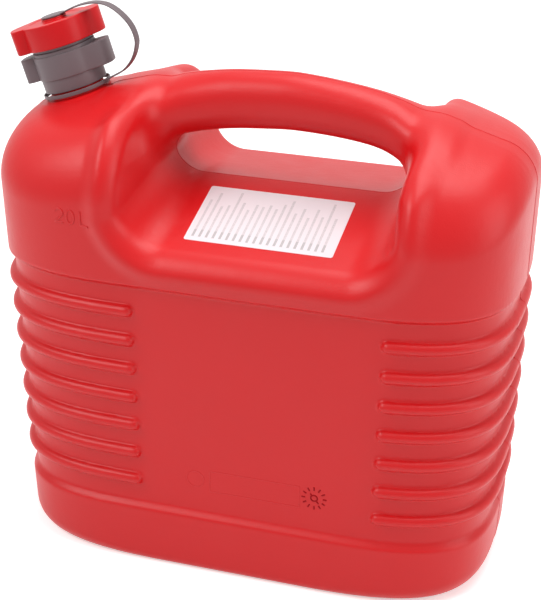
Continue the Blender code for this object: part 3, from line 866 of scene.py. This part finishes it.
def make_capacity(shell):
    """The figures and letter of the can's capacity, 20 L."""
    low = CAPACITY_FOOT
    high = low + CAPACITY_TALL
    two, nought, letter = CAPACITY_STARTS
    wide = CAPACITY_WIDTHS
    half = 0.5 * wide[0]
    head = arc_line((two + half, high - half), half, half, *TWO_HEAD)
    two_line = head + [(two, low), (two + wide[0], low)]
    middle = (nought + 0.5 * wide[1], 0.5 * (low + high))
    nought_line = arc_line(middle, 0.5 * wide[1], 0.5 * CAPACITY_TALL, 0.0, 360.0)[:-1]
    letter_line = [(letter, high), (letter, low), (letter + wide[2], low)]
    lines = [(two_line, False), (nought_line, True), (letter_line, False)]
    return strokes("capacity_mark", shell, lines, CAPACITY_STROKE, CAPACITY_SINK)


def make_dial(shell):
    """A date dial with plain ticks round a boss and its pointer."""
    x, z = DIAL_MIDDLE

    def spoke(inner, outer, angle):
        across = cos(angle)
        up = sin(angle)
        return [(x + reach * across, z + reach * up) for reach in (inner, outer)], False

    lines = []
    for tick in range(DIAL_TICKS):
        lines.append(spoke(DIAL_INNER, DIAL_OUTER, FULL_TURN * tick / DIAL_TICKS))
    lines.append((arc_line(DIAL_MIDDLE, DIAL_BOSS, DIAL_BOSS, 0.0, 360.0)[:-1], True))
    angle = radians(DIAL_POINTER_TURN)
    lines.append(spoke(DIAL_BOSS, DIAL_POINTER, angle))
    lines.append(spoke(-DIAL_BOSS, -DIAL_TAIL * DIAL_POINTER, angle))
    return strokes("date_dial", shell, lines, DIAL_STROKE, DIAL_SINK)


def make_plate_marks(shell):
    """A bare ring and a bare frame beside the dial."""
    low_x, low_z = PLATE_LOW
    high_x, high_z = PLATE_HIGH
    frame_line = [(low_x, low_z), (high_x, low_z), (high_x, high_z), (low_x, high_z)]
    ring_line = arc_line(PLATE_RING_MIDDLE, PLATE_RING_RADIUS, PLATE_RING_RADIUS, 0.0, 360.0)[:-1]
    lines = [(frame_line, True), (ring_line, True)]
    return strokes("plate_marks", shell, lines, PLATE_STROKE, PLATE_SINK)


def join_rows(work, here, there):
    """Faces between two closed rows with the same count of points."""
    for index in range(len(here)):
        after = (index + 1) % len(here)
        work.faces.new((here[index], there[index], there[after], here[after]))


def make_sticker(shell):
    """A thin sticker with rounded corners, laid on the ramp from above."""
    radius = STICKER_CORNER
    low_x, low_y = [value + radius for value in STICKER_LOW]
    high_x, high_y = [value - radius for value in STICKER_HIGH]
    middles = ((high_x, high_y), (low_x, high_y), (low_x, low_y), (high_x, low_y))
    corners = []
    for start, middle in zip((0.0, 90.0, 180.0, 270.0), middles):
        corners += arc_line(middle, radius, radius, start, start + 90.0, STICKER_CORNER_STEPS)
    work = bmesh.new()
    above = []
    below = []
    for x, y in corners:
        start = Vector((x, y, STICKER_START))
        _, place, normal, _ = shell.ray_cast(start, Vector((0.0, 0.0, -1.0)))
        above.append(work.verts.new(place + normal * STICKER_LIFT))
        below.append(work.verts.new(place - normal * STICKER_ROOT))
    work.faces.new(above)
    work.faces.new(below[::-1])
    join_rows(work, above, below)
    bmesh.ops.recalc_face_normals(work, faces=work.faces)
    return object_of("blank_sticker", work, 30.0)


# Turned and winged pieces of the closure


def wing_rise(degrees, turned_to):
    """Share of the wing's reach at one direction: a long ramp, then a sharp drop."""
    turn = (degrees - turned_to + 90.0) % 180.0 - 90.0
    rise = stepped(turn, -WING_RAMP, WING_CREST[0] * WING_RAMP)
    crest_end = WING_CREST[1] * WING_DROP
    share = min(max(turn - crest_end, 0.0) / (WING_DROP - crest_end), 1.0)
    return rise * sqrt(1.0 - share**2)


def eased(corners, steps=4):
    """A closed profile with its corners rounded.

    Each corner is radius and height, then its rounding and its wing share where it has them.
    """
    count = len(corners)
    made = []
    for index, (radius, height, *more) in enumerate(corners):
        rounding, wing = (*more, 0.0, 0.0)[:2]
        here = Vector((radius, height))
        if rounding <= 0.0:
            made.append((radius, height, wing))
            continue
        ways = [Vector(corners[near % count][:2]) - here for near in (index - 1, index + 1)]
        back, on = [way.normalized() * min(rounding, ROUNDED_SHARE * way.length) for way in ways]
        for step in range(steps + 1):
            t = step / steps
            place = here + back * (1 - t) ** 2 + on * t**2
            made.append((*place, wing))
    return made


def turned(name, profile, thread=None, wings=(0.0,) * ROUND_SIDES, smooth_angle=35.0):
    """A closed piece turned about the neck's axis, with wings where its profile asks."""
    work = bmesh.new()
    rows = []
    for side in range(ROUND_SIDES):
        angle = FULL_TURN * side / ROUND_SIDES
        row = []
        for radius, height, wing in profile:
            reach = radius + wing * wings[side]
            if thread is not None:
                reach += thread(radius, height, angle)
            place = Vector((reach * cos(angle), reach * sin(angle), height))
            row.append(work.verts.new(NECK_FRAME @ place))
        rows.append(row)
    for side in range(ROUND_SIDES):
        join_rows(work, rows[side], rows[(side + 1) % ROUND_SIDES])
    bmesh.ops.recalc_face_normals(work, faces=work.faces)
    return object_of(name, work, smooth_angle)


def wings_of(reach, turned_to):
    return [reach * wing_rise(360.0 * side / ROUND_SIDES, turned_to) for side in range(ROUND_SIDES)]


def thread_on(core, rise, low, pitch, turns):
    """A screw thread's rise over its core, fading in and out at its ends."""

    def lift(radius, height, angle):
        turn = (height - low) / pitch
        part = angle / FULL_TURN
        along = round(turn - part) + part
        if abs(radius - core) > THREAD_NEAR or along < 0.0 or along > turns:
            return 0.0
        shape = max(1.0 - abs(turn - along) / THREAD_FLANK, 0.0)
        fade = min(min(along, turns - along) / THREAD_FADE, 1.0)
        return rise * min(shape * THREAD_STEEP, 1.0) * fade

    return lift


def upright(radius, low, high):
    """Profile points up a wall that carries a thread."""
    count = int((high - low) / THREAD_SPACING)
    return [(radius, between(low, high, step / count), 0.0) for step in range(count + 1)]


def washer(name, bore, radius, low, high, rounding):
    corners = ((bore, low), (radius, low), (radius, high), (bore, high))
    return turned(name, eased([(*corner, rounding) for corner in corners]))


def make_neck():
    profile = upright(NECK_CORE, NECK_FOOT, NECK_TOP - NECK_SLOPE)
    profile += [
        (NECK_CORE - NECK_EDGE, NECK_TOP, 0.0),
        (NECK_BORE + NECK_EDGE, NECK_TOP, 0.0),
        (NECK_BORE, NECK_TOP - NECK_EDGE, 0.0),
        (NECK_BORE, NECK_FOOT, 0.0),
    ]
    rise = NECK_CREST - NECK_CORE
    thread = thread_on(NECK_CORE, rise, NECK_THREAD_LOW, NECK_PITCH, NECK_THREAD_TURNS)
    return turned("neck_threads", profile, thread)


def make_spout():
    flange = [
        (FLANGE_RADIUS, FLANGE_HIGH, 0.0005),
        (FLANGE_RADIUS, FLANGE_LOW, 0.0005),
        (SPOUT_RADIUS, FLANGE_LOW),
    ]
    profile = eased(flange)
    inner = [(SPOUT_BORE, FLANGE_HIGH, 0.0)]
    top = FLANGE_LOW - SPOUT_STRAIGHT
    for step in range(BELLOWS_COUNT * BELLOWS_STEPS + 1):
        height = top - BELLOWS_PITCH * step / BELLOWS_STEPS
        swing = cos(FULL_TURN * step / BELLOWS_STEPS)
        dip = BELLOWS_DEPTH * (0.5 - 0.5 * swing)
        profile.append((SPOUT_RADIUS - dip, height, 0.0))
        inner.append((SPOUT_BORE - dip, height, 0.0))
    low = top - BELLOWS_COUNT * BELLOWS_PITCH - NOZZLE_LENGTH
    profile.append((NOZZLE_RADIUS, low, 0.0))
    inner.append((NOZZLE_RADIUS - SPOUT_WALL, low, 0.0))
    return turned("spout_hose", profile + inner[::-1], smooth_angle=50.0)


def make_collar():
    lower = [
        (SKIRT_BORE, WEB_LOW),
        (SKIRT_BORE, SKIRT_FOOT, 0.0004),
        (SKIRT_RADIUS, SKIRT_FOOT, 0.0005),
        (SKIRT_RADIUS, BAND_FOOT),
        (BAND_RADIUS, BAND_FOOT, 0.0009, 1.0),
        (BAND_RADIUS, BAND_TOP, 0.0011, 1.0),
        (SKIRT_RADIUS, BAND_TOP),
        (SKIRT_RADIUS, WEB_HIGH - BEAD_DROP, 0.0003),
        (STUB_CORE, WEB_HIGH),
    ]
    upper = [
        (STUB_CORE, STUB_TOP, 0.0006),
        (STUB_BORE, STUB_TOP, 0.0004),
        (STUB_BORE, WEB_HIGH),
        (SPOUT_BORE, WEB_HIGH, 0.0004),
        (SPOUT_BORE, WEB_LOW),
    ]
    wall = upright(STUB_CORE, WEB_HIGH + STUB_FOOT, STUB_TOP - STUB_EDGE)
    rise = STUB_RADIUS - STUB_CORE - STUB_THREAD_SUNK
    low = WEB_HIGH + STUB_THREAD_LOW
    thread = thread_on(STUB_CORE, rise, low, STUB_PITCH, STUB_THREAD_TURNS)
    wings = wings_of(COLLAR_WING_REACH, COLLAR_WING_TURN)
    return turned("collar_winged", eased(lower) + wall + eased(upper), thread, wings)


def make_cap():
    corners = [
        (AXIS_RADIUS, CAP_CEILING),
        (CAP_BORE, CAP_CEILING),
        (CAP_BORE, CAP_LOW, 0.0004),
        (CAP_RADIUS, CAP_LOW, 0.0010, 1.0),
        (CAP_RADIUS, CAP_HIGH, 0.0010, 1.0),
        (DISH_OUTER, CAP_HIGH, 0.0008),
        (DISH_OUTER - DISH_SLOPE, CAP_HIGH - DISH_DEPTH, 0.0008),
        (DISH_INNER, CAP_HIGH - DISH_DEPTH, 0.0008),
        (BOSS_RADIUS, CAP_HIGH - BOSS_FOOT * DISH_DEPTH, 0.0004),
        (BOSS_RADIUS, BOSS_TOP, 0.0005),
        (SOCKET_RADIUS, BOSS_TOP, 0.0003),
        (SOCKET_RADIUS, SOCKET_LOW),
        (AXIS_RADIUS, SOCKET_LOW),
    ]
    return turned("cap_winged", eased(corners), wings=wings_of(CAP_WING_REACH, CAP_WING_TURN))


def make_ring():
    foot = RING_TOP - RING_HEIGHT
    corners = [
        (RING_BORE, foot, 0.0003),
        (RING_RADIUS, foot, 0.0004),
        (RING_RADIUS, RING_TOP, 0.0003),
        (RING_RADIUS - RING_RIM, RING_TOP, 0.0003),
        (RING_RADIUS - RING_RIM, foot + RING_TRAY, 0.0003),
        (RING_BORE, foot + RING_TRAY, 0.0003),
    ]
    return turned("tether_hoop", eased(corners))


def make_eye():
    stem = SOCKET_RADIUS - GAP
    corners = [
        (AXIS_RADIUS, SOCKET_LOW + GAP),
        (stem, SOCKET_LOW + GAP, 0.0003),
        (stem, EYE_LOW),
        (EYE_RADIUS, EYE_LOW, 0.0003),
        (EYE_RADIUS, EYE_HIGH, 0.0004),
        (AXIS_RADIUS, EYE_HIGH),
    ]
    return turned("tether_button", eased(corners))


def curve_points(stations, steps):
    """Points on a smooth curve through stations in the plane."""
    line = [Vector(station) for station in (stations[0], *stations, stations[-1])]
    points = []
    for a, b, c, d in zip(line, line[1:], line[2:], line[3:]):
        square = 2.0 * a - 5.0 * b + 4.0 * c - d
        cube = 3.0 * b - a - 3.0 * c + d
        for step in range(steps):
            t = step / steps
            points.append(0.5 * (2.0 * b + (c - a) * t + square * t**2 + cube * t**3))
    return points + [line[-1]]


def make_strap():
    """The moulded strap from the eye on the cap out and down to the ring."""
    line = curve_points(STRAP_LINE, STRAP_STEPS)
    turn = radians(STRAP_TURN)
    outward = Vector((cos(turn), sin(turn), 0.0))
    sideways = Vector((-sin(turn), cos(turn), 0.0))
    work = bmesh.new()
    rings = []
    half = 0.5 * STRAP_THICK
    ends = [line[0], *line, line[-1]]
    for before, point, after in zip(ends, line, ends[2:]):
        tangent = (after - before).normalized()
        normal = Vector((-tangent.y, tangent.x))
        ring = []
        for step in range(STRAP_SIDES):
            across, up = squared(FULL_TURN * (step + 0.5) / STRAP_SIDES, *STRAP_BENDS)
            place = point + normal * (half * up)
            spot = outward * place.x + sideways * (STRAP_HALF_WIDTH * across)
            ring.append(work.verts.new(NECK_FRAME @ Vector((spot.x, spot.y, place.y))))
        rings.append(ring)
    for before, after in zip(rings, rings[1:]):
        join_rows(work, before, after)
    work.faces.new(rings[0])
    work.faces.new(rings[-1])
    bmesh.ops.recalc_face_normals(work, faces=work.faces)
    return object_of("tether_band", work, 40.0)


# Materials

COLOUR_SCALE = 14.0
GLOSS_SCALE = 55.0
PEEL_SCALE = 150.0
GRAIN_SCALE = 1100.0


def new_material(name):
    made = bpy.data.materials.new(name)
    made.use_nodes = True
    return made, made.node_tree, made.node_tree.nodes["Principled BSDF"]


def maths(tree, operation, first, second):
    """Result of a maths node, each of whose two values is a number or a socket."""
    node = tree.nodes.new("ShaderNodeMath")
    node.operation = operation
    for socket, value in zip(node.inputs, (first, second)):
        if isinstance(value, float):
            socket.default_value = value
        else:
            tree.links.new(value, socket)
    return node.outputs["Value"]


def noise(tree, scale, detail):
    place = tree.nodes.new("ShaderNodeTexCoord")
    node = tree.nodes.new("ShaderNodeTexNoise")
    node.inputs["Scale"].default_value = scale
    node.inputs["Detail"].default_value = detail
    tree.links.new(place.outputs["Object"], node.inputs["Vector"])
    return node.outputs["Fac"]


def set_colour(tree, shader, share, first, second):
    """A base colour that goes from the first to the second as the share says."""
    mixed = tree.nodes.new("ShaderNodeMix")
    mixed.data_type = "RGBA"
    mixed.inputs["A"].default_value = (*first, 1.0)
    mixed.inputs["B"].default_value = (*second, 1.0)
    tree.links.new(share, mixed.inputs["Factor"])
    tree.links.new(mixed.outputs["Result"], shader.inputs["Base Color"])


def set_roughness(tree, shader, share, low, high):
    gloss = tree.nodes.new("ShaderNodeMapRange")
    gloss.inputs["To Min"].default_value = low
    gloss.inputs["To Max"].default_value = high
    tree.links.new(share, gloss.inputs["Value"])
    tree.links.new(gloss.outputs["Result"], shader.inputs["Roughness"])


def bump(tree, height, distance, normal=None):
    node = tree.nodes.new("ShaderNodeBump")
    node.inputs["Distance"].default_value = distance
    tree.links.new(height, node.inputs["Height"])
    if normal is not None:
        tree.links.new(normal, node.inputs["Normal"])
    return node.outputs["Normal"]


def plastic(name, colour, deeper, roughness, spread, grain, peel, shine=0.5):
    """A moulded plastic: slight drifts of colour and gloss, fine grain and a faint ripple."""
    made, tree, shader = new_material(name)
    shader.inputs["Specular IOR Level"].default_value = shine
    set_colour(tree, shader, noise(tree, COLOUR_SCALE, 4.0), colour, deeper)
    drift = noise(tree, GLOSS_SCALE, 3.0)
    set_roughness(tree, shader, drift, roughness - spread, roughness + spread)
    ripple = bump(tree, noise(tree, PEEL_SCALE, 2.0), peel)
    fine = bump(tree, noise(tree, GRAIN_SCALE, 2.0), grain, ripple)
    tree.links.new(fine, shader.inputs["Normal"])
    return made


PAPER_COLOUR = (0.78, 0.72, 0.75)
PAPER_ROUGHNESS = (0.45, 0.60)
PAPER_FIBRE = 0.00001
RULE_COLOUR = (0.45, 0.43, 0.44)
RULE_WIDTH = 0.38
RULE_HEAD = 0.0080
RULE_SHORTEST = 0.0200
RULE_HEAD_INK = 0.5
RULE_GAP_SCALE = 900.0


def paper(name):
    """Pale sticker paper with faint grey ruled lines across its short side."""
    made, tree, shader = new_material(name)
    place = tree.nodes.new("ShaderNodeTexCoord")
    parts = tree.nodes.new("ShaderNodeSeparateXYZ")
    tree.links.new(place.outputs["Object"], parts.inputs["Vector"])
    low_x, low_y = [value + STICKER_MARGIN for value in STICKER_LOW]
    high_x, high_y = [value - STICKER_MARGIN for value in STICKER_HIGH]
    pitch = (high_x - low_x) / STICKER_COLUMNS
    column = maths(tree, "DIVIDE", maths(tree, "SUBTRACT", parts.outputs["X"], low_x), pitch)
    chance = tree.nodes.new("ShaderNodeTexWhiteNoise")
    chance.noise_dimensions = "1D"
    tree.links.new(maths(tree, "FLOOR", column, 0.0), chance.inputs["W"])
    shorter = maths(tree, "MULTIPLY", chance.outputs["Value"], RULE_SHORTEST)
    end = maths(tree, "SUBTRACT", high_y, shorter)
    inside = maths(tree, "LESS_THAN", maths(tree, "FRACT", column, 0.0), RULE_WIDTH)
    for limit in (
        maths(tree, "GREATER_THAN", column, 0.0),
        maths(tree, "LESS_THAN", column, float(STICKER_COLUMNS)),
        maths(tree, "GREATER_THAN", parts.outputs["Y"], low_y),
        maths(tree, "LESS_THAN", parts.outputs["Y"], end),
    ):
        inside = maths(tree, "MULTIPLY", inside, limit)
    wear = noise(tree, RULE_GAP_SCALE, 2.0)
    head = maths(tree, "LESS_THAN", parts.outputs["Y"], low_y + RULE_HEAD)
    depth = maths(tree, "ADD", wear, maths(tree, "MULTIPLY", head, RULE_HEAD_INK))
    ink = maths(tree, "MULTIPLY", inside, depth)
    set_colour(tree, shader, ink, PAPER_COLOUR, RULE_COLOUR)
    set_roughness(tree, shader, wear, *PAPER_ROUGHNESS)
    tree.links.new(bump(tree, wear, PAPER_FIBRE), shader.inputs["Normal"])
    return made


# Studio

FLOOR_SIZE = 6.0
FLOOR_COLOUR = (0.93, 0.93, 0.93, 1.0)
FLOOR_LIFT = 0.48
FLOOR_ROUGHNESS = 0.9
WHITE = (1.0, 1.0, 1.0, 1.0)
WORLD_STRENGTH = 0.35
LIGHT_AIM = Vector((0.0, 0.0, 0.2))
LIGHTS = (
    ("key", (-1.2, -1.1, 1.8), 1.2, 1.0, 22.5),
    ("side", (1.9, -0.3, 0.9), 1.0, 1.6, 12.0),
    ("top", (0.3, 0.2, 2.1), 1.8, 1.2, 29.0),
)


def make_light(name, place, width, height, power):
    data = bpy.data.lights.new(name, "AREA")
    data.shape = "RECTANGLE"
    data.size = width
    data.size_y = height
    data.energy = power
    place = Vector(place)
    turn = (place - LIGHT_AIM).to_track_quat("Z", "Y").to_matrix().to_4x4()
    placed(name, data).matrix_world = Matrix.Translation(place) @ turn


def sees_background(tree):
    """One for camera, glossy and transmission rays, which show the white background."""
    path = tree.nodes.new("ShaderNodeLightPath")
    seen = maths(tree, "MAXIMUM", path.outputs["Is Camera Ray"], path.outputs["Is Glossy Ray"])
    return maths(tree, "MAXIMUM", seen, path.outputs["Is Transmission Ray"])


def make_floor_material():
    """Pale floor that shows near white, with the object's shadow kept."""
    made, tree, shader = new_material("floor_pale")
    shader.inputs["Base Color"].default_value = FLOOR_COLOUR
    shader.inputs["Roughness"].default_value = FLOOR_ROUGHNESS
    shader.inputs["Specular IOR Level"].default_value = 0.0
    shader.inputs["Emission Color"].default_value = WHITE
    lift = maths(tree, "MULTIPLY", sees_background(tree), FLOOR_LIFT)
    tree.links.new(lift, shader.inputs["Emission Strength"])
    return made


def make_stage():
    corners = ((-1.0, -1.0), (1.0, -1.0), (1.0, 1.0), (-1.0, 1.0))
    points = [(FLOOR_SIZE * x, FLOOR_SIZE * y, 0.0) for x, y in corners]
    mesh = bpy.data.meshes.new("floor")
    mesh.from_pydata(points, [], [(0, 1, 2, 3)])
    floor = placed("floor", mesh)
    mesh.materials.append(make_floor_material())
    world = bpy.data.worlds.new("studio")
    bpy.context.scene.world = world
    world.use_nodes = True
    tree = world.node_tree
    mixer = tree.nodes.new("ShaderNodeMixShader")
    tree.links.new(sees_background(tree), mixer.inputs["Fac"])
    soft = tree.nodes["Background"]
    white = tree.nodes.new("ShaderNodeBackground")
    for background, strength, socket in ((soft, WORLD_STRENGTH, 1), (white, 1.0, 2)):
        background.inputs["Color"].default_value = WHITE
        background.inputs["Strength"].default_value = strength
        tree.links.new(background.outputs["Background"], mixer.inputs[socket])
    tree.links.new(mixer.outputs["Shader"], tree.nodes["World Output"].inputs["Surface"])
    for light in LIGHTS:
        make_light(*light)


bpy.context.scene.view_settings.view_transform = "Standard"
make_camera()
make_stage()

# Name, colour, deeper colour, roughness and its spread, grain, ripple and shine
PLASTICS = (
    ("can_red_plastic", (0.63, 0.0043, 0.0067), (0.60, 0.0036, 0.0055), 0.38, 0.05, 8e-5, 12e-5, 0.4),
    ("seam_red_plastic", (0.62, 0.0045, 0.0070), (0.58, 0.0038, 0.0058), 0.45, 0.05, 3e-5, 5e-5),
    # The dial's red is darker with little shine: painted shade for the shadows round its low raised
    # strokes
    ("dial_painted_shade_plastic", (0.36, 0.0015, 0.0060), (0.30, 0.0012, 0.0050), 0.50, 0.05, 2e-5, 2e-5, 0.1),
    ("cap_red_plastic", (0.59, 0.0045, 0.0080), (0.56, 0.0040, 0.0070), 0.36, 0.05, 2e-5, 6e-5, 0.26),
    ("closure_grey_plastic", (0.150, 0.112, 0.122), (0.135, 0.100, 0.110), 0.46, 0.05, 3e-5, 8e-5),
    ("spout_grey_plastic", (0.155, 0.118, 0.128), (0.135, 0.102, 0.112), 0.50, 0.05, 4e-5, 8e-5),
    ("gasket_black_rubber", (0.022, 0.022, 0.024), (0.016, 0.016, 0.018), 0.62, 0.06, 4e-5, 4e-5),
    ("liner_white_plastic", (0.76, 0.75, 0.71), (0.70, 0.69, 0.66), 0.58, 0.05, 2e-5, 4e-5),
)
can_paint, seam_paint, dial_shade_paint, cap_paint, grey_paint, spout_paint, gasket_paint, liner_paint = [
    plastic(*look) for look in PLASTICS
]


def dress(item, paint, body, slot, *nodes):
    """Give a piece its material, its body and the nodes that it replaces; its finish slot is not used.
    """
    item.data.materials.append(paint)
    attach(item, body)
    if nodes:
        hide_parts(*nodes)


shell, section = make_shell(body_field())
dress(shell, can_paint, "can", "can_red", "can_body")
dress(make_seam(section), seam_paint, "can", "can_red")
bpy.context.view_layer.update()
dress(make_capacity(shell), can_paint, "can", "can_red")
# The dial's strokes are low real relief, and their darker red is painted shade for the shadows round
# them
dress(make_dial(shell), dial_shade_paint, "can", "can_red")
dress(make_plate_marks(shell), can_paint, "can", "can_red")
sticker = make_sticker(shell)
sticker.data.materials.append(paper("sticker_paper"))
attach(sticker, "can")
dress(make_neck(), can_paint, "can", "can_red")
gasket = washer("neck_gasket_ring", NECK_BORE, NECK_RADIUS, GASKET_LOW, GASKET_HIGH, 0.0004)
dress(gasket, gasket_paint, "seal", "gasket_black", "neck_gasket")
dress(make_spout(), spout_paint, "pouring_spout", "spout_grey", "spout")
dress(make_collar(), grey_paint, "union_collar", "collar_grey", "collar")
dress(make_cap(), cap_paint, "screw_cap", "cap_red", "cap")
liner = washer("cap_liner_ring", LINER_BORE, CAP_BORE - GAP, LINER_LOW, LINER_HIGH, 0.0003)
dress(liner, liner_paint, "screw_cap", "liner_white", "cap_liner")
dress(make_ring(), grey_paint, "tether", "tether_grey", "tether_ring")
dress(make_eye(), grey_paint, "eye", "tether_grey", "tether_eye")
strap = make_strap()
strap.data.materials.append(grey_paint)
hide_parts("tether_strap")
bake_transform(strap)
